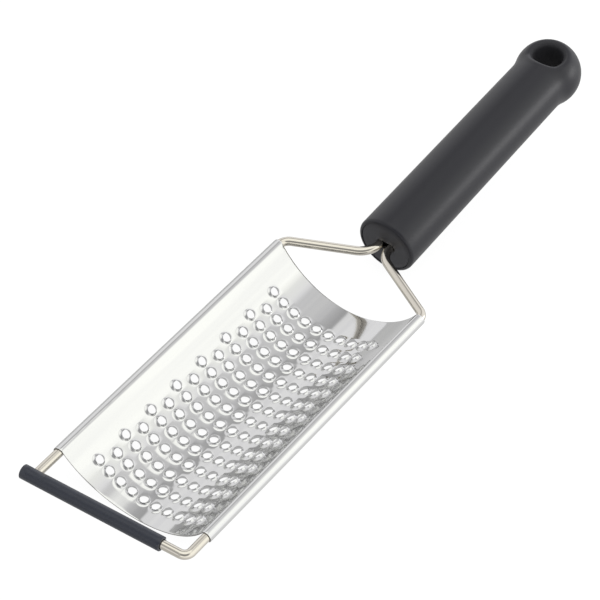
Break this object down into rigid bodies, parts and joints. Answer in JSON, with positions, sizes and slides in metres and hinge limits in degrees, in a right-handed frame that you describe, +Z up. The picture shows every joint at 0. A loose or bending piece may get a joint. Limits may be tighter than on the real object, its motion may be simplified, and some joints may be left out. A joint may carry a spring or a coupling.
{
  "type": "rasp zester",
  "caption": "Slim hand rasp: a curved steel sheet of raised cutting holes held in a bent wire frame, with a rubber foot sleeve and a round plastic handle with a hanging hole.",
  "frame": {"origin": "under the middle of the whole tool, on the surface the blade's trough rests on", "axes": "+X across the blade, +Y from the front bar to the handle's ball end, +Z up, out of the blade's hollow side"},
  "size_m": [0.0774, 0.3176, 0.0378],
  "materials": {
    "sheet_steel": "polished",
    "wire_steel": "polished",
    "black_rubber": "satin",
    "handle_plastic": "matte"
  },
  "bodies": {
    "root": {"grater_blade": "sheet_steel", "wire_frame": "wire_steel", "foot_sleeve": "black_rubber", "handle_body": "handle_plastic", "handle_plug": "handle_plastic"}
  },
  "joints": []
}
